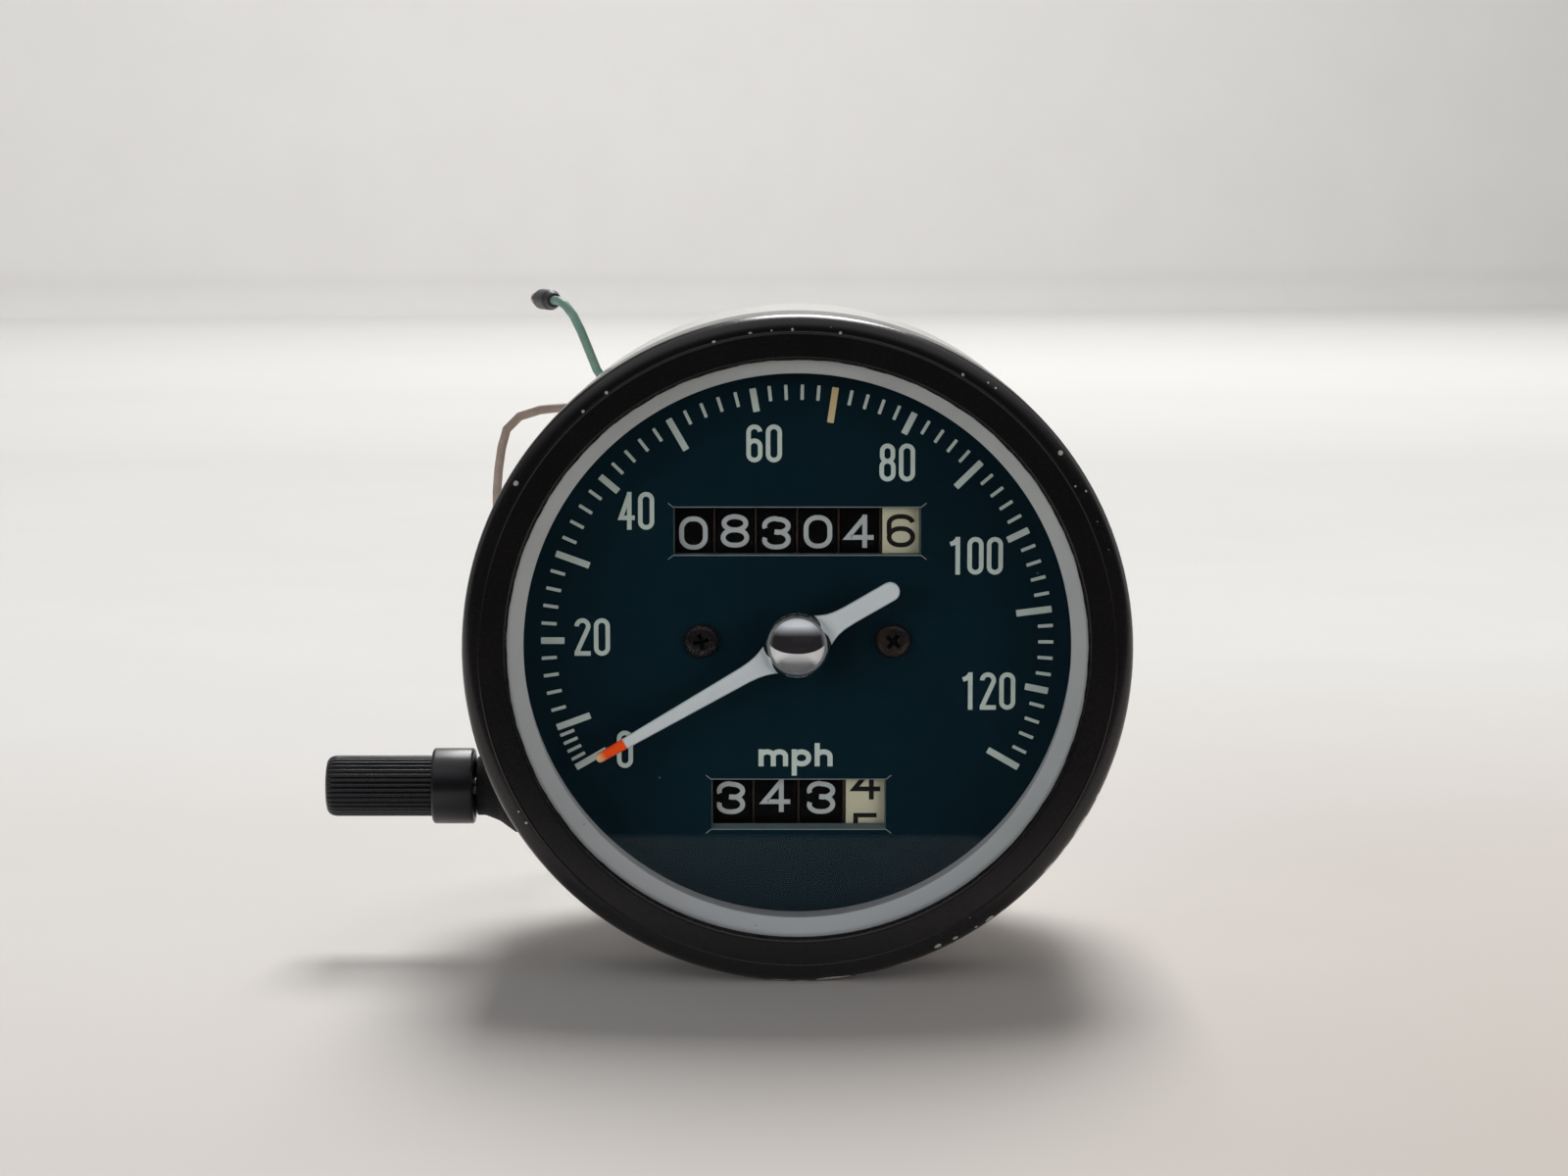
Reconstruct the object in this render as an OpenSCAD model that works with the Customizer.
// Motorcycle speedometer with a mile counter, a resettable trip counter and an eddy current drive.
// The dial face is built at bench height zero, looking up; stand() then lays the instrument on its
// round side, with the dial towards -Y and the origin in the middle of the cable union's thread.

/* [Bezel and glass] */
// Outside diameter of the painted front ring
bezel_d = 90; // [88:1:96]
// Sheet thickness of the front ring
bezel_wall = 1; // [0.8:0.1:1.2]
// Width of the ring seen from the front
bezel_face = 5.9; // [5.4:0.1:6.4]
// Radius of the ring's front corner
bezel_corner = 2.4; // [1.8:0.1:2.8]
// Thickness of the flat glass
glass_t = 1.8; // [1.4:0.1:2.2]
// Thickness of the rubber lips that hold the glass
seal_t = 0.4; // [0.3:0.1:0.6]

/* [White ring] */
// Height of the white ring from the dial to the glass rubber
ring_h = 9.4; // [8.4:0.2:11]
// Height of its sloping band
ring_cone_h = 1.9; // [1.5:0.1:2.5]
// Radial width of its sloping band
ring_cone_w = 2; // [1.6:0.1:2.4]

/* [Dial] */
// Thickness of the dial plate
dial_t = 0.8; // [0.6:0.1:1]
// Gap between the tick marks and the white ring
tick_margin = 1.9; // [1.5:0.1:2.5]
// Length of the two mile ticks
tick_short = 2.07; // [1.6:0.1:2.6]
// Length of the ticks at even tens
tick_medium = 3.2; // [2.6:0.1:3.8]
// Length of the ticks at odd tens
tick_long = 4.85; // [4:0.1:5.4]
// Width of the ticks at the tens
tick_wide = 0.9; // [0.7:0.1:1.1]
// Width of the other ticks
tick_narrow = 0.45; // [0.35:0.05:0.6]
// Distance between the two dial screws
dial_screw_pitch = 26.2; // [25:0.2:27]
// Diameter of a dial screw's head
dial_screw_head_d = 4.65; // [4:0.1:5]
// Width of the mile counter's window
odo_window_w = 33.4; // [32:0.2:33.6]
// Height of the mile counter's window
odo_window_h = 6.2; // [5.5:0.1:6.8]
// Width of the trip counter's window
trip_window_w = 23.6; // [22.6:0.2:24.2]
// Height of the trip counter's window
trip_window_h = 6.5; // [5.5:0.1:6.8]

/* [Pointer] */
// Length of the pointer from the centre to its tip
needle_l = 31.5; // [29:0.5:33]
// Length of the counterweight tail
needle_tail = 15.8; // [14:0.2:17]
// Thickness of the pointer blade
needle_t = 0.7; // [0.5:0.1:1]
// Height of the blade over the dial
needle_lift = 4.6; // [3.6:0.2:5.4]
// Diameter of the chrome hub cap
hub_d = 9.2; // [8.6:0.1:9.8]
// Angle the pointer sweeps from zero to full scale
sweep_deg = 240; // [220:5:250]
// Diameter of the pointer spindle
spindle_d = 1.2; // [1:0.1:1.4]

/* [Counters] */
// Radius of a number wheel
wheel_r = 10.3; // [10:0.1:10.5]
// Pitch of the mile counter's wheels
odo_pitch = 5.67; // [5.4:0.01:5.67]
// Pitch of the trip counter's wheels
trip_pitch = 6.2; // [5.8:0.1:6.2]
// Height of the mile counter's shaft over the centre
odo_y = 15; // [14.8:0.1:15.4]
// Depth of the trip counter's shaft under the centre
trip_y = 22; // [21.6:0.1:22.4]
// Diameter of the counter shafts
counter_shaft_d = 2.4; // [2:0.1:2.8]
// Teeth of the drive gear on each tenths wheel
drive_teeth = 24; // [20:1:28]
// Teeth of the transfer gear between the counters
transfer_teeth = 32; // [28:1:36]

/* [Drive] */
// Radius of the magnet
magnet_r = 12; // [11:0.2:12.4]
// Height of the magnet
magnet_h = 6; // [5:0.5:7]
// Gap from the magnet to the speed cup
cup_gap = 0.7; // [0.5:0.1:0.9]
// Thickness of the speed cup
cup_t = 0.5; // [0.4:0.1:0.7]
// Diameter of the input spindle
input_d = 3; // [2.6:0.1:3.2]
// Across flats of the square that takes the cable's end
square_w = 2.6; // [2.4:0.1:2.8]
// Radius of the first worm wheel
worm_wheel_r = 4.4; // [4:0.1:4.8]
// Teeth of the first worm wheel
worm_wheel_teeth = 20; // [16:1:24]
// Radius of the second worm wheel
upright_wheel_r = 7.8; // [7.4:0.1:7.9]
// Teeth of the second worm wheel
upright_wheel_teeth = 28; // [24:1:32]

/* [Cases] */
// Sheet thickness of the inner and outer case
case_wall = 0.8; // [0.6:0.1:1]
// Radius of the outer can's rear shoulder
shoulder_r = 18; // [17:0.5:20]
// Space between the inner case and the outer can at the rear
rear_gap = 3.2; // [3:0.1:4]
// Thickness of the movement's plate
plate_t = 2; // [1.6:0.1:2.4]
// Thickness of the base casting's floor
base_t = 3; // [2.6:0.1:3.6]

/* [Rear fittings] */
// Distance between the two mounting studs
stud_pitch = 38; // [36:0.5:39]
// Diameter of a mounting stud
stud_d = 6; // [5:0.5:6]
// Length of a stud behind the outer can
stud_l = 14; // [10:1:18]
// Diameter of each stud's free end, which takes the bracket's nut
stud_tip_d = 5; // [4:0.5:5]
// Outside diameter of the cable union's thread
union_d = 12; // [11:0.5:12]
// Length of the union's thread
union_thread_l = 10; // [8:0.5:14]

/* [Reset knob] */
// Diameter of the ribbed grip
grip_d = 8.5; // [7.6:0.1:9]
// Length of the ribbed grip
grip_l = 14.8; // [12:0.2:18]
// Number of ribs round the grip
grip_ribs = 36; // [24:1:44]
// Diameter of the smooth collar
collar_d = 10.6; // [9.8:0.1:11.4]
// Length of the smooth collar
collar_l = 5.9; // [4:0.1:7]
// Gap between the front ring's side and the knob's collar
collar_gap = 0.1; // [0.1:0.1:5]

/* [Lamp and leads] */
// Diameter of the lamp socket's barrel
socket_d = 9.8; // [9:0.1:9.8]
// Diameter of a lead
lead_d = 1.4; // [1.2:0.1:1.6]
// Diameter of a bullet connector
bullet_d = 3.2; // [2.8:0.1:3.3]
// Length of a bullet connector
bullet_l = 9; // [7:0.5:10]

/* [Hidden] */
$fn = 96;

// Clearances: a running fit, a tight fit, a loose fit, and air between pieces that pass each other
run = 0.05;
press = 0.02;
loose = 0.1;
air = 0.3;
// Reach of a cutting solid past the face it cuts
past = 1;

// Radii of the shells, from the bezel inwards
bezel_r = bezel_d / 2;
bezel_in = bezel_r - bezel_wall;
opening_r = bezel_r - bezel_face;
flange_r = bezel_in - 0.2;
case_r = bezel_r - 3;
case_in = case_r - case_wall;
can_r = bezel_r - air;
can_in = can_r - case_wall;
dial_r = bezel_in - 1.2;
seal_r = bezel_r - bezel_corner;
glass_r = seal_r - 1;

// Heights over the dial face
glass_z = ring_h + seal_t;
seal_top = glass_z + glass_t + seal_t;
bezel_top = seal_top + bezel_wall;

// Heights under the dial face, from the dial back to the can
flange_z = -dial_t - case_wall;
bezel_bottom = flange_z - bezel_wall;
gasket_t = 0.9;
can_top = bezel_bottom - gasket_t;
wheel_space = 0.8;
wheel_z = -dial_t - wheel_space - wheel_r;
plate_top = wheel_z - wheel_r - wheel_space;
plate_z = plate_top - plate_t;
cup_space = 1.1;
cup_top = plate_z - cup_space;
cup_depth = 1.4;
magnet_top = cup_top - cup_t - cup_depth;
magnet_z = magnet_top - magnet_h;
cup_overhang = 1;
cup_rim = magnet_z - cup_overhang;
journal_t = 1.4;
journal_top = magnet_z - 0.8;
cross_z = journal_top - journal_t - 0.4 - worm_wheel_r;

// Centres of the drive train, worked out from the gears' radii
worm_r = 2;
tooth_gap = 0.1;
cross_x = worm_r + worm_wheel_r + tooth_gap;
counter_worm_r = 1.6;
gear_w = 1.6;
transfer_pin_r = 1;
odo_right = 3 * odo_pitch;
gear_x = odo_right + counter_worm_r + 0.4;
counter_span = odo_y + trip_y;
pitch_sum = drive_teeth + transfer_teeth;
drive_pitch_r = counter_span / 2 * drive_teeth / pitch_sum;
transfer_pitch_r = counter_span / 2 * transfer_teeth / pitch_sum;
gear_module = counter_span / pitch_sum;
tooth_add = 0.75 * gear_module;
tooth_ded = 1.1 * gear_module;
transfer_y = (odo_y - trip_y) / 2;
upright_y = odo_y + drive_pitch_r + tooth_add + counter_worm_r + tooth_gap;
cross_worm_r = gear_x - cross_x - upright_wheel_r - tooth_gap;
base_top = cross_z - cross_worm_r - 0.6;
case_floor = base_top - base_t;
case_z = case_floor - case_wall;
can_floor = case_z - rear_gap;
can_z = can_floor - case_wall;
case_corner = shoulder_r - rear_gap - case_wall;

// Rear fittings: studs, the union with its neck, collar and bore, and the lamp
stud_x = stud_pitch / 2;
stud_head_r = 5;
stud_head_t = 1;
washer_r = 6.2;
washer_t = 1;
nut_w = 11.5;
nut_t = 2.4;
stud_end = can_z - stud_l;
stud_step_z = can_z - washer_t - nut_t - 0.6;
union_shoulder = 2;
union_neck_r = union_d / 2 + 0.5;
union_collar_r = union_d / 2 + 1;
union_flange_r = union_collar_r + 2;
union_z = can_z - union_shoulder - union_thread_l;
union_bore_d = 6.6;
union_bearing_z = can_z - 4.5;
drive_end_d = 5.2;
square_depth = 5;
origin_z = can_z - union_shoulder - union_thread_l / 2;
lamp_x = -12.5;
lamp_y = 13.5;
socket_flange_r = socket_d / 2 + 1.1;
socket_flange_t = 2;
socket_boss_r = 3.4;
bulb_r = 3.7;
bulb_base_l = 3.4;
bulb_ball_r = 4;

// The frame's side cheeks, posts and pillars
cheek_t = 1.6;
cheek_margin = 4.5;
cheek_left = -(odo_right + 2.4);
cheek_right = gear_x + counter_worm_r + 0.4;
pillar_spots = [[-22, -8], [14, -20], [17.5, -5], [-7.5, 22.8]];
pillar_r = 2.2;
pillar_screw_r = 1.2;
pillar_screw_l = 5;
sunk_head_r = 2;
sunk_head_t = 1;
dial_post_r = 2.2;
bridge_post_r = 1.9;
light_window_r = 3.6;
light_window_inset = 8.2;
light_window_ring = case_in - light_window_inset;

// The bridge over the pointer spindle, its screws and the bushes
bridge_pitch = 17;
bridge_w = 6.4;
bridge_z = wheel_z + wheel_r - 4.9;
bridge_t = 1.5;
bridge_end = 2;
bridge_screw_r = 1;
bridge_screw_head_d = 3.2;
bridge_screw_l = 4;
upper_bush_r = 1.6;
lower_bush_r = 2.5;
stop_tab_h = 2.2;
stop_arm_l = 4.2;

// Dial screws and windows
dial_screw_r = 1.2;
dial_screw_l = 6;
dial_screw_head_h = 1.3;
dial_hole_r = 2.5;
fold_t = 0.4;
trip_window_y = -trip_y - fold_t;

// Pointer's hub, and the spiral spring that brings the pointer back
hub_r = 1.6;
hub_plate_r = 3.4;
hub_l = 2.2;
collet_r = 1.2;
spring_turns = 4;
spring_in = 1.25;
spring_out = 5.5;
spring_t = 0.22;
spring_w = 0.6;
spring_step_deg = 15;
spring_steps = spring_turns * 360 / spring_step_deg;
spring_z = bridge_z + bridge_t + 1;
spring_stud_r = 0.55;

// Base casting and its screws
base_margin = 1.39;
base_r = norm(pillar_spots[0]) + pillar_r + base_margin;
base_screw_ring = 12;
base_screw_r = 1.4;
base_screw_angles = [90, 210, 330];
shaft_end_r = 1;
cross_first_y = -6.6;
cross_last_y = upright_y + 8.4;
cross_middle_y = 14;
bearing_t = 2.4;
bearing_half_w = 2.2;
journal_half_w = 2.5;
journal_foot = [-6.4, -3.8];
arm_t = 0.6;
far_arm_y = 20;
heel_x = -10;
heel_y = -13;

// Wheels in hollow drum form, with their carry pinions inside
carrier_t = 0.3;
carrier_play = 0.15;
drum_gap = carrier_t + 2 * carrier_play;
drum_in = wheel_r - 1.7;
wheel_hub_r = 2.4;
ring_tooth_h = 0.5;
pinion_r = 1.85;
pinion_offset = drum_in - ring_tooth_h - pinion_r - tooth_gap;
shaft_r = counter_shaft_d / 2;
pinion_shaft_r = 0.6;
pinion_reach = 1.9;
drum_teeth = 20;
trip_x = 0.2;

// Reset shaft, its tube and boot, and the knob
tube_r = 2.9;
boot_r = 4.1;
boot_flare_r = 6.6;
boot_flare_l = 4.2;
boot_waist_l = 2;
boot_inner_x = can_r - 10.7;
collar_x = bezel_r + collar_gap;
knob_end = -(collar_x + collar_l + grip_l);
knob_screw_r = 0.9;
knob_screw_head_d = 3.4;
knob_screw_head_h = 0.9;
knob_recess = 1.2;
knob_blind = 2.9;

// The scale: miles an hour to degrees clockwise from the zero tick, closer together at the slow end
zero_deg = 210;
top_speed = 130;
function scale_share(v) = v <= 10 ? v : v <= 60 ? 10 + 2 * (v - 10) : 110 + (v - 60) * 13 / 7;
function scale_deg(v) = sweep_deg * scale_share(v) / scale_share(top_speed);

// A point of the hairspring's spiral, some way to one side of its middle line
function spiral_r(i) = spring_in + spring_t / 2 + (spring_out - spring_in - spring_t) * i / spring_steps;
function spiral(i, side) = (spiral_r(i) + side) * [cos(i * spring_step_deg), sin(i * spring_step_deg)];

// Routes of the two lamp leads, chosen by hand along the shape they have set to
green_route = [
    [-13.6, 13.9, -62], [-13.7, 14, -65], [-14.4, 14.8, -68.4], [-16.4, 17, -71.4],
    [-19.2, 20, -73.4], [-22.4, 23.2, -74.6], [-25.6, 26.6, -75.2], [-28.6, 29.8, -75.4],
    [-30.8, 33, -75.5], [-32, 36, -75.5], [-33.2, 39, -75.5], [-34.4, 41.4, -75.6],
    [-35.7, 43, -76.4], [-36.8, 43.6, -78], [-37.6, 43.6, -80]
];
brown_route = [
    [-11.4, 13.1, -62], [-11.3, 13, -65], [-11.4, 13.4, -68.6], [-12.4, 15, -72.4],
    [-15, 17.6, -75.8], [-18.8, 20.6, -77.8], [-23, 23.2, -78.5], [-27.4, 25.2, -78.2],
    [-31.6, 26.6, -77], [-35.8, 27.2, -75.8], [-39.6, 26.8, -75.2], [-42.8, 25.8, -75],
    [-44.8, 23.8, -75], [-45.6, 21, -75], [-46.1, 17.6, -75], [-46.4, 14, -75],
    [-46.4, 10, -75], [-45.9, 5, -75.1], [-45.1, 0, -75.3], [-44, -5.4, -75.6],
    [-42.6, -10.6, -76], [-40.6, -15.8, -76.6], [-38.2, -20.8, -77.4], [-35.2, -25.6, -78.4],
    [-31.6, -29.8, -79.6], [-27.4, -33.4, -81], [-22.8, -36.4, -82.6], [-17.8, -38.6, -84],
    [-12.6, -40, -85.2], [-7.4, -40.6, -86], [-3, -40.8, -86.4]
];

// Lays the instrument on its side: bench x, y, z become row x, z and -y
module stand() rotate([90, 0, 0]) translate([0, 0, -origin_z]) children();

// A bar along x, y or z between two places
module bar_x(r, x0, x1) translate([x0, 0, 0]) rotate([0, 90, 0]) cylinder(r = r, h = x1 - x0);
module bar_y(r, y0, y1) translate([0, y0, 0]) rotate([-90, 0, 0]) cylinder(r = r, h = y1 - y0);
module bar_z(r, z0, z1) translate([0, 0, z0]) cylinder(r = r, h = z1 - z0);

// A flat ring between two radii and two heights
module ring(r_out, r_in, z0, z1) {
    difference() {
        bar_z(r_out, z0, z1);
        bar_z(r_in, z0 - past, z1 + past);
    }
}

// A block from one corner to the other
module block(low, high) translate(low) cube(high - low);

// Outline of a gear wheel with straight sided teeth, a little thinner than its gaps
module gear_outline(teeth, tip_r, root_r, share = 0.42) {
    step = 360 / teeth;
    polygon([
        for (i = [0:teeth - 1])
            for (p = [[-share / 2 - 0.1, root_r], [-share / 2 + 0.1, tip_r], [share / 2 - 0.1, tip_r],
                [share / 2 + 0.1, root_r]])
                p[1] * [cos((i + p[0]) * step), sin((i + p[0]) * step)]
    ]);
}

// A gear that turns about an axis along x; turn moves its first tooth
module gear_x_axis(teeth, tip_r, root_r, x0, x1, turn = 0) {
    translate([x0, 0, 0]) rotate([0, 90, 0]) rotate([0, 0, turn])
        linear_extrude(x1 - x0) gear_outline(teeth, tip_r, root_r);
}

// A worm along z, drawn as a bar with rings at the thread's pitch
module worm(r, z0, z1, pitch) {
    turns = floor((z1 - z0) / pitch);
    bar_z(r - 0.35, z0, z1);
    for (i = [0:turns - 1])
        translate([0, 0, z0 + (i + 0.5) * (z1 - z0) / turns])
            rotate_extrude() polygon([[0, -pitch / 3], [r - 0.4, -pitch / 3], [r, -pitch / 8],
                [r, pitch / 8], [r - 0.4, pitch / 3], [0, pitch / 3]]);
}

// Half section of a cup with a rounded rear corner
module cup_section(r, z0, z1, corner) {
    union() {
        translate([0, z0 + corner]) square([r, z1 - z0 - corner]);
        translate([0, z0]) square([r - corner, corner + past]);
        intersection() {
            translate([r - corner, z0 + corner]) circle(corner);
            translate([0, z0]) square([r, corner + past]);
        }
    }
}

// Sweep of a round tube along a route's own points, closed at both ends
function unit(v) = v / norm(v);
function tangent(p, i) = unit(p[min(i + 1, len(p) - 1)] - p[max(i - 1, 0)]);
function carried(side, t) = unit(side - (side * t) * t);
function sides(p, i, side) =
    i == len(p) ? [] : let (s = carried(side, tangent(p, i))) concat([s], sides(p, i + 1, s));
module tube(p, r, n = 8) {
    side = sides(p, 0, [1, 0.2, 0]);
    rings = [
        for (i = [0:len(p) - 1])
            for (k = [0:n - 1])
                p[i] + r * (cos(360 * k / n) * side[i] + sin(360 * k / n) * cross(tangent(p, i), side[i]))
    ];
    walls = [
        for (i = [0:len(p) - 2])
            for (k = [0:n - 1])
                for (f = [[i * n + k, (i + 1) * n + k, (i + 1) * n + (k + 1) % n],
                    [i * n + k, (i + 1) * n + (k + 1) % n, i * n + (k + 1) % n]])
                    f
    ];
    first = [for (k = [1:n - 2]) [0, k, k + 1]];
    last = [for (k = [1:n - 2]) [(len(p) - 1) * n, (len(p) - 1) * n + k + 1, (len(p) - 1) * n + k]];
    polyhedron(points = rings, faces = concat(walls, first, last));
}

// A bullet connector that starts where a route ends and goes on in its direction
module bullet(p) {
    end = p[len(p) - 1];
    d = tangent(p, len(p) - 1);
    sleeve_share = 0.7;
    nose_share = 0.75;
    translate(end) rotate([0, acos(d[2]), atan2(d[1], d[0])]) {
        cylinder(d = bullet_d, h = bullet_l * sleeve_share);
        cylinder(d = bullet_d * nose_share, h = bullet_l);
    }
}

// Front ring: a rounded channel, its rear lip curled in behind the inner case's flange
module bezel() color([0.05, 0.05, 0.05]) stand() rotate_extrude() difference() {
    union() {
        translate([opening_r, bezel_bottom])
            square([bezel_face, bezel_top - bezel_bottom - bezel_corner]);
        translate([opening_r, bezel_bottom])
            square([bezel_face - bezel_corner, bezel_top - bezel_bottom]);
        translate([bezel_r - bezel_corner, bezel_top - bezel_corner]) circle(bezel_corner);
    }
    translate([0, flange_z]) square([bezel_in, bezel_top - bezel_corner - flange_z]);
    translate([0, flange_z]) square([bezel_r - bezel_corner, seal_top - flange_z]);
    translate([bezel_r - bezel_corner, bezel_top - bezel_corner]) circle(bezel_corner - bezel_wall);
    translate([0, bezel_bottom - past]) square([case_r + air, bezel_wall + 2 * past]);
}

// Rubber channel round the edge of the glass
module glass_seal() color([0.08, 0.08, 0.08]) stand() {
    ring(seal_r, glass_r + 0.05, ring_h, seal_top);
    ring(glass_r + 0.1, opening_r - air, glass_z + glass_t, seal_top);
    ring(glass_r + 0.1, opening_r + 0.2, ring_h, glass_z);
}

module glass() color([0.8, 0.85, 0.88, 0.3]) stand() bar_z(glass_r, glass_z, glass_z + glass_t);

// White ring that stands on the dial and carries the glass
module reflector_ring() color([0.9, 0.9, 0.9]) stand() {
    top_r = opening_r - 0.2;
    foot_r = top_r - ring_cone_w;
    wall = 0.9;
    rotate_extrude() polygon([
        [foot_r + wall * 0.7, 0], [foot_r, ring_h - ring_cone_h], [top_r, ring_h], [dial_r, ring_h],
        [dial_r, 0], [dial_r - wall, 0], [dial_r - wall, ring_h - wall], [top_r + wall / 2, ring_h - wall],
        [foot_r + wall * 1.2, ring_h - ring_cone_h - wall / 2], [foot_r + wall * 1.7, 0]
    ]);
}

// Opening for a counter, and the folded edge round it
module window_cut(w, h) cube([w, h, 4 * dial_t], center = true);
module window_fold(w, h, x, y) {
    translate([x, y, -dial_t - fold_t / 2]) difference() {
        cube([w + 2 * fold_t, h + 2 * fold_t, fold_t], center = true);
        window_cut(w, h);
    }
}

module dial_plate() color([0.04, 0.13, 0.17]) stand() {
    difference() {
        bar_z(dial_r, -dial_t, 0);
        bar_z(dial_hole_r, -dial_t - past, past);
        for (s = [-1, 1])
            translate([s * dial_screw_pitch / 2, 0, 0])
                bar_z(dial_screw_r + loose, -dial_t - past, past);
        translate([0, odo_y, 0]) window_cut(odo_window_w, odo_window_h);
        translate([trip_x, trip_window_y, 0]) window_cut(trip_window_w, trip_window_h);
    }
    window_fold(odo_window_w, odo_window_h, 0, odo_y);
    window_fold(trip_window_w, trip_window_h, trip_x, trip_window_y);
    scale_marks();
}

// Printed tick marks: one every two miles an hour, longer and wider at the tens
module scale_marks() color([0.8, 0.82, 0.78]) {
    tick_r = opening_r - 0.2 - ring_cone_w - tick_margin;
    print_t = 0.06;
    for (v = [0:2:top_speed]) {
        odd_ten = v % 20 == 10 || v == 0;
        even_ten = v % 20 == 0;
        l = odd_ten ? tick_long : even_ten ? tick_medium : tick_short;
        w = odd_ten || even_ten ? tick_wide : tick_narrow;
        rotate([0, 0, zero_deg - scale_deg(v)])
            translate([tick_r - l, -w / 2, 0]) cube([l, w, print_t]);
    }
}

// Pan head with a cross recess, looking up from its seat
module pan_head(d, h) {
    slot = 0.2 * d;
    difference() {
        intersection() {
            cylinder(d = d, h = h);
            translate([0, 0, h - d]) sphere(r = d);
        }
        for (a = [0, 90])
            rotate([0, 0, a]) translate([-0.28 * d, -slot / 2, 0.45 * h]) cube([0.56 * d, slot, h]);
    }
}

module dial_screws() color([0.1, 0.1, 0.1]) stand()
    for (s = [-1, 1])
        translate([s * dial_screw_pitch / 2, 0, 0]) {
            pan_head(dial_screw_head_d, dial_screw_head_h);
            bar_z(dial_screw_r, -dial_screw_l, 0.1);
        }

// Pointer blade: flared root, straight taper to the tip, round ended tail
module needle() color([0.92, 0.92, 0.92]) stand() translate([0, 0, needle_lift]) {
    difference() {
        union() {
            rotate([0, 0, zero_deg]) linear_extrude(needle_t) needle_outline();
            cylinder(r = hub_plate_r, h = needle_t);
            bar_z(hub_r, -hub_l, 0.1);
        }
        bar_z(spindle_d / 2 + run, -hub_l - past, needle_t + past);
    }
}
module needle_outline() {
    tail_w = 2.65;
    root_w = 3.6;
    blade_w = 2.3;
    tip_w = 1.25;
    root_x = 5;
    waist_w = 2.8;
    waist_x = 6.4;
    blade_x = 8.6;
    polygon([
        [0, root_w / 2], [root_x, root_w / 2], [waist_x, waist_w / 2], [blade_x, blade_w / 2],
        [needle_l, tip_w / 2], [needle_l, -tip_w / 2],
        [blade_x, -blade_w / 2], [waist_x, -waist_w / 2], [root_x, -root_w / 2], [0, -root_w / 2]
    ]);
    translate([-needle_tail + tail_w / 2, -tail_w / 2]) square([needle_tail, tail_w]);
    translate([-needle_tail + tail_w / 2, 0]) circle(d = tail_w);
}

// Chrome dome over the pointer's hub
module hub_cap() color([0.85, 0.85, 0.88]) stand() translate([0, 0, needle_lift + needle_t]) {
    dome_h = 2.5;
    skirt = 0.5;
    ball = (pow(hub_d / 2, 2) + dome_h * dome_h) / (2 * dome_h);
    intersection() {
        cylinder(d = hub_d, h = dome_h + skirt);
        translate([0, 0, dome_h + skirt - ball]) sphere(r = ball);
    }
}

// Pointer spindle with the hairspring's collet and the arm that meets the zero stop
module needle_spindle() color([0.7, 0.7, 0.72]) stand() {
    collar_h = 1.1;
    arm_w = 0.8;
    arm_t = 0.7;
    bar_z(spindle_d / 2, cup_top - cup_t - 0.6, needle_lift + needle_t - run);
    bar_z(collet_r, spring_z - 0.4, spring_z + spring_w + 0.4);
    translate([0, 0, bridge_z - 0.5 - collar_h]) {
        cylinder(r = collet_r, h = collar_h);
        rotate([0, 0, zero_deg]) translate([0, -arm_w / 2, (collar_h - arm_t) / 2])
            cube([stop_arm_l, arm_w, arm_t]);
    }
}

// Aluminium drag cup over the magnet
module speed_cup() color([0.8, 0.8, 0.82]) stand() {
    cup_in = magnet_r + cup_gap;
    difference() {
        bar_z(cup_in + cup_t, cup_rim, cup_top);
        bar_z(cup_in, cup_rim - past, cup_top - cup_t);
        bar_z(spindle_d / 2 + press, cup_rim, cup_top + past);
    }
    ring(1.5, spindle_d / 2 + press, cup_top - 0.1, cup_top + 0.6);
}

// Flat spiral spring from the collet out to its stud
module hairspring() color([0.75, 0.65, 0.4]) stand()
    translate([0, 0, spring_z]) linear_extrude(spring_w) polygon(concat(
        [for (i = [0:spring_steps]) spiral(i, spring_t / 2)],
        [for (i = [spring_steps:-1:0]) spiral(i, -spring_t / 2)]
    ));
module hairspring_stud() color([0.75, 0.65, 0.3]) stand()
    translate([spring_out + spring_stud_r, 0, 0])
        bar_z(spring_stud_r, bridge_z + bridge_t, spring_z + spring_w + 0.4);

// Bridge that holds the spindle's upper bush, with the zero stop under it
module needle_bridge() color([0.75, 0.72, 0.6]) stand() {
    half_l = bridge_pitch / 2 + bridge_end;
    half_w = bridge_w / 2;
    difference() {
        block([-half_l, -half_w, bridge_z], [half_l, half_w, bridge_z + bridge_t]);
        bar_z(upper_bush_r, bridge_z - past, bridge_z + bridge_t + past);
        for (s = [-1, 1])
            translate([s * bridge_pitch / 2, 0, 0])
                bar_z(bridge_screw_r + run, bridge_z - past, bridge_z + bridge_t + past);
    }
    block([-half_w, -half_w, bridge_z - stop_tab_h], [half_w, air - half_w, bridge_z]);
}
module bridge_screws() color([0.8, 0.8, 0.8]) stand()
    for (s = [-1, 1])
        translate([s * bridge_pitch / 2, 0, bridge_z + bridge_t]) {
            pan_head(bridge_screw_head_d, 1);
            bar_z(bridge_screw_r, -bridge_t - bridge_screw_l, 0.1);
        }

// Brass bushes for the pointer spindle, in the bridge and in the movement's plate
module spindle_bushes() color([0.8, 0.65, 0.3]) stand() {
    bore = spindle_d / 2 + run;
    ring(upper_bush_r, bore, bridge_z, bridge_z + bridge_t);
    ring(lower_bush_r, bore, plate_z, plate_top);
}

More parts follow.
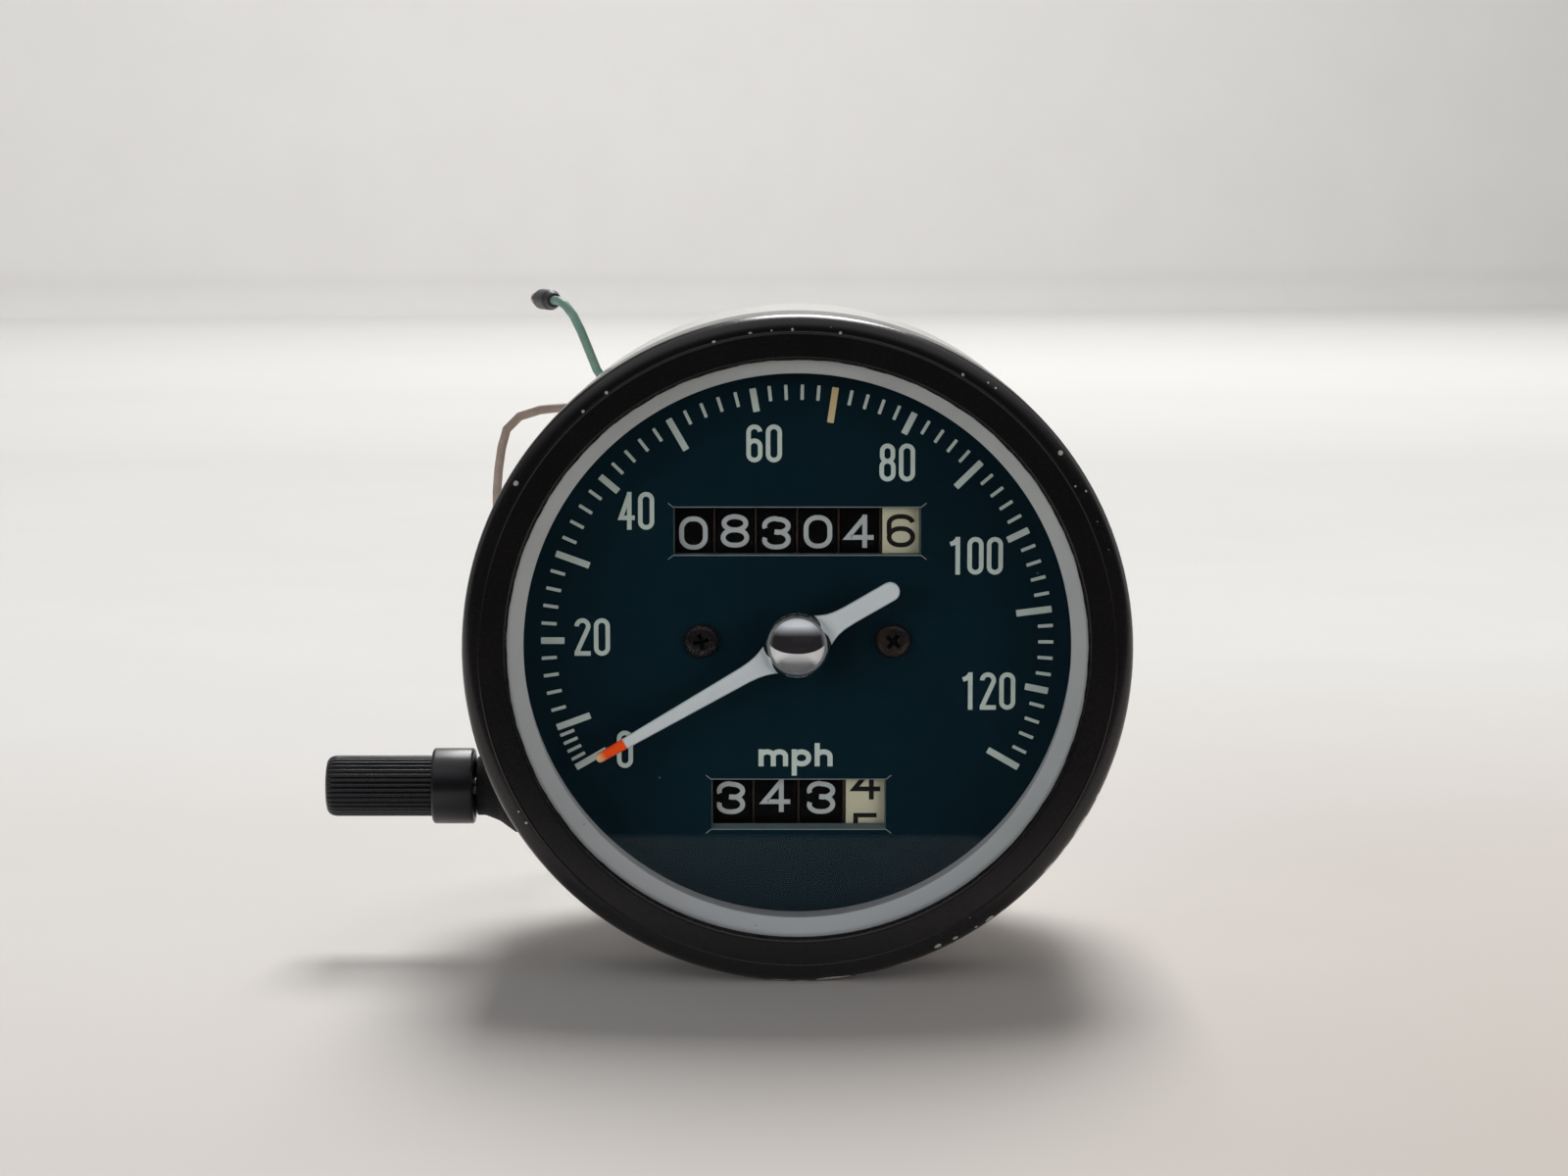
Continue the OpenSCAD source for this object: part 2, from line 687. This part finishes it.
// Movement frame: round plate, two cheeks for the counter shafts, posts for the bridge and the dial
module movement_frame() color([0.72, 0.72, 0.74]) stand() difference() {
    union() {
        bar_z(case_in - air, plate_z, plate_top);
        for (x = [cheek_left, cheek_right])
            block([x, -trip_y - cheek_margin, plate_z + 0.5],
                [x + cheek_t, odo_y + cheek_margin, wheel_z + cheek_margin]);
        for (s = [-1, 1]) {
            translate([s * bridge_pitch / 2, 0, 0]) bar_z(bridge_post_r, plate_z + 0.5, bridge_z);
            translate([s * dial_screw_pitch / 2, 0, 0]) bar_z(dial_post_r, plate_z + 0.5, -dial_t);
        }
    }
    bar_z(lower_bush_r, plate_z - past, plate_top + past);
    translate([gear_x, upright_y, 0]) bar_z(shaft_end_r + run, plate_z - past, plate_top + past);
    for (y = [odo_y, -trip_y])
        translate([0, y, wheel_z]) bar_x(shaft_r + run, cheek_left - past, cheek_right + cheek_t + past);
    translate([0, transfer_y, wheel_z])
        bar_x(transfer_pin_r + press, cheek_right - past, cheek_right + cheek_t + past);
    for (s = [-1, 1]) {
        translate([s * bridge_pitch / 2, 0, bridge_z])
            bar_z(bridge_screw_r + run, -bridge_screw_l - 2, past);
        translate([s * dial_screw_pitch / 2, 0, 0]) bar_z(dial_screw_r + run, -dial_screw_l - 2, 0);
    }
    for (p = pillar_spots)
        translate(p) {
            bar_z(pillar_screw_r + loose, plate_z - past, plate_top + past);
            bar_z(sunk_head_r + loose, plate_top - sunk_head_t, plate_top + past);
        }
    // light passes these windows from the lamp to the dial's edge
    for (a = [115, 150, 180, 260, 320, 0])
        rotate([0, 0, a]) translate([light_window_ring, 0, 0])
            bar_z(light_window_r, plate_z - past, plate_top + past);
}
module frame_screws() color([0.8, 0.8, 0.8]) stand()
    for (p = pillar_spots)
        translate(p) {
            bar_z(sunk_head_r, plate_top - sunk_head_t, plate_top - run);
            bar_z(pillar_screw_r, plate_z - pillar_screw_l, plate_top - sunk_head_t + 0.1);
        }

// Base casting on the case's floor: pillars, bearings of the cross shaft and the input spindle's bridge
module base_casting() color([0.66, 0.66, 0.68]) stand() difference() {
    union() {
        bar_z(base_r, case_floor, base_top);
        for (p = pillar_spots)
            translate(p) bar_z(pillar_r, base_top - 0.5, plate_z);
        for (y = [cross_first_y, cross_middle_y, cross_last_y - bearing_t])
            translate([cross_x, y, 0]) block([-bearing_half_w, 0, base_top - 0.5],
                [bearing_half_w, bearing_t, cross_z + bearing_half_w]);
        // the bridge over the first worm, which carries the input spindle
        block([journal_foot[0], -journal_half_w, base_top - 0.5],
            [journal_foot[1], journal_half_w, journal_top]);
        block([journal_foot[0], -journal_half_w, journal_top - journal_t],
            [input_d / 2 + journal_t, journal_half_w, journal_top]);
        // foot of the upright shaft
        translate([gear_x, upright_y, base_top]) block([-6, -4, -arm_t], [2.4, 2.4, journal_t]);
        // the arm under the cross shaft's far bearing
        translate([cross_x, 0, base_top])
            block([-bearing_half_w, far_arm_y, -arm_t], [bearing_half_w, cross_last_y, 0]);
        // solid heel of the casting, low on the side away from the knob
        translate([0, 0, case_floor]) intersection() {
            cylinder(r = base_r, h = cross_z - case_floor);
            block([heel_x, -base_r, 0], [base_r, heel_y, cross_z - case_floor]);
        }
    }
    bar_z(union_neck_r + run, case_floor - past, base_top + past);
    bar_z(input_d / 2 + run, journal_top - journal_t - past, journal_top + past);
    translate([cross_x, 0, cross_z]) bar_y(shaft_end_r + run, cross_first_y - past, cross_last_y + past);
    translate([gear_x, upright_y, 0]) bar_z(shaft_end_r + run, base_top - 0.2, plate_z);
    translate([lamp_x, lamp_y, 0]) bar_z(socket_d / 2 + air, case_floor - past, base_top + past);
    for (p = pillar_spots)
        translate(p) bar_z(pillar_screw_r + run, plate_z - pillar_screw_l - past, plate_z + past);
    at_base_screws() bar_z(base_screw_r + loose, case_floor - past, base_top - 0.4);
}
module base_screws() color([0.8, 0.8, 0.8]) stand() at_base_screws() {
    translate([0, 0, case_z]) rotate([180, 0, 0]) pan_head(4.6, 1.5);
    bar_z(base_screw_r, case_z - 0.1, base_top - 0.8);
}
module at_base_screws()
    for (a = base_screw_angles)
        rotate([0, 0, a]) translate([base_screw_ring, 0, 0]) children();

// Input spindle: square socket for the cable, first worm, seat of the magnet
module input_spindle() color([0.7, 0.7, 0.72]) stand() difference() {
    union() {
        bar_z(drive_end_d / 2, union_bearing_z, case_floor);
        bar_z(input_d / 2, case_floor - 0.1, magnet_top);
        translate([0, 0, cross_z]) worm(worm_r, -3.6, 3.6, 1.2);
        bar_z(input_d / 2 + 0.9, magnet_z - 0.5, magnet_z);
    }
    translate([-square_w / 2, -square_w / 2, union_bearing_z - past])
        cube([square_w, square_w, square_depth + past]);
}
module drag_magnet() color([0.35, 0.35, 0.37]) stand() ring(magnet_r, input_d / 2, magnet_z, magnet_top);

// Cross shaft: worm wheel from the input spindle, second worm to the upright shaft
module cross_shaft() color([0.85, 0.82, 0.7]) stand() translate([cross_x, 0, cross_z]) {
    bar_y(shaft_end_r, cross_first_y, cross_last_y);
    rotate([-90, 0, 0]) translate([0, 0, -1]) linear_extrude(2)
        gear_outline(worm_wheel_teeth, worm_wheel_r, worm_wheel_r - 0.8);
    rotate([-90, 0, 0]) translate([0, 0, upright_y]) worm(cross_worm_r, -4.2, 4.2, 1.7);
}
// Upright shaft: second worm wheel, and the six start worm that drives the counters
module upright_shaft() color([0.85, 0.82, 0.7]) stand() translate([gear_x, upright_y, 0]) {
    bar_z(shaft_end_r, base_top - 0.1, wheel_z + 5.6);
    translate([0, 0, cross_z - 1]) linear_extrude(2)
        gear_outline(upright_wheel_teeth, upright_wheel_r, upright_wheel_r - 0.9);
    translate([0, 0, wheel_z]) worm(counter_worm_r, -4.5, 4.5, 1.1);
}

// Gear that carries the drive from the mile counter to the trip counter, on its pin in the cheek
module transfer_gear() color([0.9, 0.88, 0.8]) stand() translate([0, transfer_y, wheel_z]) difference() {
    union() {
        gear_x_axis(transfer_teeth, transfer_pitch_r + tooth_add, transfer_pitch_r - tooth_ded,
            gear_x - gear_w / 2, gear_x + gear_w / 2, 90 + 180 / transfer_teeth);
        bar_x(2.4, gear_x - gear_w / 2, cheek_right - loose);
    }
    bar_x(transfer_pin_r + run, gear_x - gear_w, cheek_right + past);
}
module transfer_pin() color([0.8, 0.8, 0.8]) stand() translate([0, transfer_y, wheel_z]) {
    head_x = gear_x - gear_w / 2 - loose;
    bar_x(transfer_pin_r, head_x - 0.1, cheek_right + cheek_t);
    bar_x(transfer_pin_r + 0.6, head_x - 0.7, head_x);
}

// One number wheel: a hollow drum with ring teeth on one side and two carry teeth on the other
module number_wheel(x, w) {
    web = 0.8;
    tooth_half = 0.3;
    tooth_foot = drum_in - ring_tooth_h;
    translate([x, 0, 0]) difference() {
        union() {
            difference() {
                bar_x(wheel_r, -w / 2, w / 2);
                bar_x(drum_in, web / 2, w / 2 + past);
                bar_x(drum_in, -w / 2 - past, -web / 2);
            }
            bar_x(wheel_hub_r, -w / 2, w / 2);
            for (i = [0:drum_teeth - 1])
                rotate([(i + 0.5) * 360 / drum_teeth, 0, 0])
                    block([0, -tooth_half, tooth_foot], [w / 2 - 0.4, tooth_half, drum_in + 0.2]);
            for (i = [-0.5, 0.5])
                rotate([i * 360 / drum_teeth, 0, 0])
                    block([0.4 - w / 2, -tooth_half, tooth_foot], [0, tooth_half, drum_in + 0.2]);
        }
        bar_x(shaft_r + run, -w, w);
    }
}
// The drive gear joined to a tenths wheel by its hub
module drive_gear(x0) difference() {
    union() {
        bar_x(3, x0 - 0.1, gear_x + gear_w / 2);
        gear_x_axis(drive_teeth, drive_pitch_r + tooth_add, drive_pitch_r - tooth_ded,
            gear_x - gear_w / 2, gear_x + gear_w / 2, 90);
    }
    bar_x(shaft_r + run, x0 - past, gear_x + 2 * gear_w);
}
module odometer_wheel(i) color(i == 5 ? [0.88, 0.85, 0.75] : [0.06, 0.06, 0.06]) stand()
    translate([0, odo_y, wheel_z]) {
        w = odo_pitch - drum_gap;
        x = (i - 2.5) * odo_pitch;
        number_wheel(x, w);
        if (i == 5) drive_gear(x + w / 2);
    }
module odometer_wheel_1() odometer_wheel(0);
module odometer_wheel_2() odometer_wheel(1);
module odometer_wheel_3() odometer_wheel(2);
module odometer_wheel_4() odometer_wheel(3);
module odometer_wheel_5() odometer_wheel(4);
module odometer_wheel_6() odometer_wheel(5);

module trip_wheel(i) color(i == 3 ? [0.88, 0.85, 0.75] : [0.06, 0.06, 0.06]) stand()
    translate([0, -trip_y, wheel_z]) {
        w = trip_pitch - drum_gap;
        x = trip_x + (i - 1.5) * trip_pitch;
        number_wheel(x, w);
        if (i == 3) drive_gear(x + w / 2);
    }
module trip_wheel_1() trip_wheel(0);
module trip_wheel_2() trip_wheel(1);
module trip_wheel_3() trip_wheel(2);
module trip_wheel_4() trip_wheel(3);

// Fixed plates between the wheels, each standing on the movement's plate, with a hole for its pinion
module carriers(count, pitch, x_mid) {
    for (i = [1:count - 1]) {
        x = x_mid + (i - count / 2) * pitch;
        difference() {
            union() {
                bar_x(wheel_r - 0.4, x - carrier_t / 2, x + carrier_t / 2);
                block([x - carrier_t / 2, -2, plate_top - wheel_z], [x + carrier_t / 2, 2, -wheel_r / 2]);
            }
            bar_x(shaft_r + run, x - past, x + past);
            translate([0, 0, -pinion_offset]) bar_x(pinion_shaft_r + run, x - past, x + past);
        }
    }
}
// Carry pinions, one through each plate, all on one line behind the shaft
module pinions(count, pitch, x_mid) {
    for (i = [1:count - 1]) {
        x = x_mid + (i - count / 2) * pitch;
        bar_x(pinion_shaft_r, x - pinion_reach, x + pinion_reach);
        for (s = [-1, 1]) {
            near = x + s * (drum_gap / 2 + loose);
            far = x + s * pinion_reach;
            gear_x_axis(8, pinion_r, pinion_r - 0.8, min(near, far), max(near, far));
        }
    }
}
module odometer_shaft() color([0.7, 0.7, 0.72]) stand() translate([0, odo_y, wheel_z])
    bar_x(shaft_r, cheek_left, cheek_right + cheek_t);
module odometer_carriers() color([0.5, 0.46, 0.4]) stand() translate([0, odo_y, wheel_z])
    carriers(6, odo_pitch, 0);
module odometer_pinions() color([0.85, 0.8, 0.6]) stand() translate([0, odo_y, wheel_z - pinion_offset])
    pinions(6, odo_pitch, 0);
module trip_carriers() color([0.5, 0.46, 0.4]) stand() translate([0, -trip_y, wheel_z])
    carriers(4, trip_pitch, trip_x);
module trip_pinions() color([0.85, 0.8, 0.6]) stand() translate([0, -trip_y, wheel_z - pinion_offset])
    pinions(4, trip_pitch, trip_x);

// Trip shaft, which runs on out through the cases and carries the reset knob
module trip_shaft() color([0.7, 0.7, 0.72]) stand() translate([0, -trip_y, wheel_z])
    bar_x(shaft_r, knob_end + knob_blind, cheek_right + cheek_t);

// Inner case: the cup that the bezel is crimped to
module inner_case() color([0.12, 0.12, 0.12]) stand() difference() {
    union() {
        rotate_extrude() difference() {
            cup_section(case_r, case_z, -dial_t, case_corner);
            translate([0, case_wall]) cup_section(case_in, case_z, -dial_t + past, case_corner - case_wall);
        }
        ring(flange_r, case_in, flange_z, -dial_t);
    }
    bar_z(union_neck_r + run, case_z - past, case_floor + past);
    translate([lamp_x, lamp_y, 0]) bar_z(socket_d / 2 + loose, case_z - past, case_floor + past);
    at_base_screws() bar_z(base_screw_r + loose, case_z - past, case_floor + past);
    translate([0, -trip_y, wheel_z]) bar_x(tube_r + loose, -case_r - past, -case_in / 2);
}

module case_gasket() color([0.1, 0.1, 0.1]) stand() ring(can_r - 0.2, case_r + 0.2, can_top, bezel_bottom);

// Outer can: the bright cover, held by the two stud nuts
module outer_can() color([0.85, 0.85, 0.88]) stand() difference() {
    rotate_extrude() difference() {
        cup_section(can_r, can_z, can_top, shoulder_r);
        translate([0, case_wall]) cup_section(can_in, can_z, can_top + past, shoulder_r - case_wall);
    }
    bar_z(union_collar_r + air, can_z - past, can_floor + past);
    translate([lamp_x, lamp_y, 0]) bar_z(socket_d / 2 + loose, can_z - past, can_floor + past);
    for (s = [-1, 1])
        translate([s * stud_x, 0, 0]) bar_z(stud_d / 2 + air, can_z - past, can_floor + past);
    translate([0, -trip_y, wheel_z]) bar_x(tube_r + air, -can_r - past, -can_in / 2);
}

// Threaded union that the speedometer cable screws to
module cable_union() color([0.75, 0.72, 0.6]) stand() difference() {
    union() {
        bar_z(union_d / 2, union_z, can_z - union_shoulder + 0.1);
        bar_z(union_neck_r, can_z - union_shoulder, base_top);
        bar_z(union_collar_r, can_z - union_shoulder, case_z);
        bar_z(union_flange_r, can_floor + air, case_z);
    }
    bar_z(drive_end_d / 2 + run, union_bearing_z, base_top + past);
    bar_z(union_bore_d / 2, union_z - past, union_bearing_z);
}

// Two studs welded to the inner case, their rubber cushions, washers and nuts
module at_studs() for (s = [-1, 1]) translate([s * stud_x, 0, 0]) children();
module mounting_studs() color([0.75, 0.75, 0.7]) stand() at_studs() {
    bar_z(stud_head_r, case_z - stud_head_t, case_z);
    bar_z(stud_d / 2, stud_step_z, case_z - stud_head_t + 0.1);
    bar_z(stud_tip_d / 2, stud_end, stud_step_z + 0.1);
}
module stud_cushions() color([0.08, 0.08, 0.08]) stand() at_studs()
    ring(washer_r, stud_d / 2 + loose, can_floor, case_z - stud_head_t);
module stud_washers() color([0.8, 0.8, 0.78]) stand() at_studs()
    ring(washer_r, stud_d / 2 + loose, can_z - washer_t, can_z);
module stud_nuts() color([0.78, 0.76, 0.7]) stand() at_studs() difference() {
    translate([0, 0, can_z - washer_t - nut_t]) cylinder(d = nut_w, h = nut_t, $fn = 6);
    bar_z(stud_d / 2 + run, can_z - washer_t - nut_t - past, can_z);
}

// Tube that guides the trip shaft out through both cases
module reset_tube() color([0.6, 0.6, 0.6]) stand() translate([0, -trip_y, wheel_z]) difference() {
    bar_x(tube_r, -collar_x + air, cheek_left);
    bar_x(shaft_r + loose, -collar_x - past, cheek_left + past);
}
// Rubber boot between the knob and the can, flared where it meets the can
module reset_boot() color([0.06, 0.06, 0.06]) stand() difference() {
    neck_x = can_r - 1.1;
    translate([0, -trip_y, wheel_z]) rotate([0, -90, 0]) rotate_extrude() difference() {
        union() {
            translate([0, boot_inner_x]) square([boot_r, collar_x - air - boot_inner_x]);
            polygon([[0, boot_inner_x], [boot_flare_r, boot_inner_x], [boot_flare_r, neck_x - boot_flare_l],
                [(boot_flare_r + boot_r) / 2 - 0.4, neck_x - boot_waist_l], [boot_r, neck_x], [0, neck_x]]);
        }
        translate([0, boot_inner_x - past]) square([tube_r + run, collar_x]);
    }
    bar_z(can_r + press, wheel_z - 2 * boot_flare_r, wheel_z + 2 * boot_flare_r);
}

// Knob: ribbed grip and smooth collar in one moulding
module reset_knob() color([0.06, 0.06, 0.06]) stand() translate([0, -trip_y, wheel_z]) difference() {
    rib_h = 0.35;
    union() {
        bar_x(collar_d / 2, -collar_x - collar_l, -collar_x);
        translate([-collar_x - collar_l + 0.1, 0, 0]) rotate([0, -90, 0]) linear_extrude(grip_l + 0.1)
            gear_outline(grip_ribs, grip_d / 2, grip_d / 2 - rib_h, 0.55);
    }
    bar_x(shaft_r + press, knob_end + knob_blind, -collar_x + past);
    bar_x(knob_screw_r + loose, knob_end - past, knob_end + knob_blind + past);
    bar_x(knob_screw_head_d / 2 + loose, knob_end - past, knob_end + knob_recess);
}
module knob_screw() color([0.3, 0.3, 0.3]) stand() translate([knob_end + knob_recess, -trip_y, wheel_z]) {
    rotate([0, -90, 0]) pan_head(knob_screw_head_d, knob_screw_head_h);
    bar_x(knob_screw_r, -0.1, knob_blind - knob_recess);
}

// Lamp socket through both cases, and its bulb
module lamp_socket() color([0.12, 0.12, 0.12]) stand() translate([lamp_x, lamp_y, 0]) difference() {
    union() {
        bar_z(socket_d / 2, can_z - 0.1, base_top + 1.8);
        bar_z(socket_flange_r, can_z - socket_flange_t, can_z);
        bar_z(socket_boss_r, green_route[0][2], can_z - socket_flange_t + 0.1);
    }
    bar_z(bulb_r + loose, base_top - bulb_base_l, base_top + 1.8 + past);
}
module lamp_bulb() color([0.9, 0.9, 0.8, 0.5]) stand() translate([lamp_x, lamp_y, base_top]) {
    bar_z(bulb_r, -bulb_base_l, bulb_base_l);
    translate([0, 0, bulb_base_l + bulb_ball_r / 2]) sphere(r = bulb_ball_r);
}

module lead_green() color([0.2, 0.45, 0.35]) stand() tube(green_route, lead_d / 2);
module lead_brown() color([0.42, 0.33, 0.28]) stand() tube(brown_route, lead_d / 2);
module bullet_green() color([0.1, 0.1, 0.1]) stand() bullet(green_route);
module bullet_brown() color([0.1, 0.1, 0.1]) stand() bullet(brown_route);

bezel();
glass_seal();
glass();
reflector_ring();
dial_plate();
dial_screws();
needle();
hub_cap();
needle_spindle();
speed_cup();
hairspring();
hairspring_stud();
needle_bridge();
bridge_screws();
spindle_bushes();
movement_frame();
frame_screws();
base_casting();
base_screws();
input_spindle();
drag_magnet();
cross_shaft();
upright_shaft();
transfer_gear();
transfer_pin();
odometer_shaft();
odometer_wheel_1();
odometer_wheel_2();
odometer_wheel_3();
odometer_wheel_4();
odometer_wheel_5();
odometer_wheel_6();
odometer_carriers();
odometer_pinions();
trip_shaft();
trip_wheel_1();
trip_wheel_2();
trip_wheel_3();
trip_wheel_4();
trip_carriers();
trip_pinions();
inner_case();
case_gasket();
outer_can();
cable_union();
mounting_studs();
stud_cushions();
stud_washers();
stud_nuts();
reset_tube();
reset_boot();
reset_knob();
knob_screw();
lamp_socket();
lamp_bulb();
lead_green();
lead_brown();
bullet_green();
bullet_brown();
